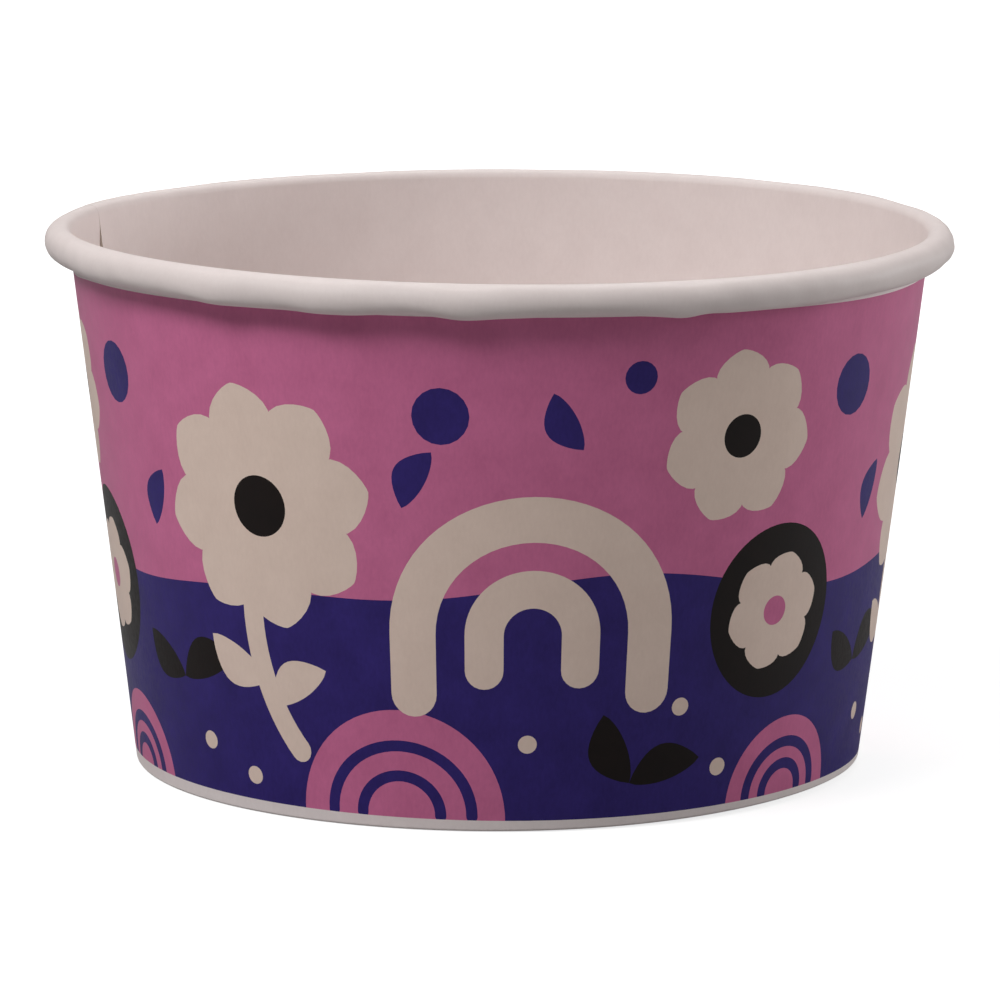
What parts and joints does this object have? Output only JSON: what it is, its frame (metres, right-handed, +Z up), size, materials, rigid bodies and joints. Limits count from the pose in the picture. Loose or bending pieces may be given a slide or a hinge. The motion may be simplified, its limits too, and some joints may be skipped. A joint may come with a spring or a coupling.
{
  "type": "paper dessert cup",
  "caption": "Round tapered paper cup for ice cream or dessert, with a rolled rim, a lapped side seam and a recessed flat base.",
  "frame": {"origin": "middle of the foot ring, on the table", "axes": "+Z up along the cup's axis; -Y is the side that the picture shows in front; +X is to its right"},
  "size_m": [0.095, 0.095, 0.0565],
  "materials": {
    "wall_board": "coated cup board, printed outside, satin",
    "base_board": "coated cup board, unprinted, satin"
  },
  "bodies": {
    "root": {"side_wall": "wall_board", "base_disc": "base_board"}
  },
  "joints": []
}
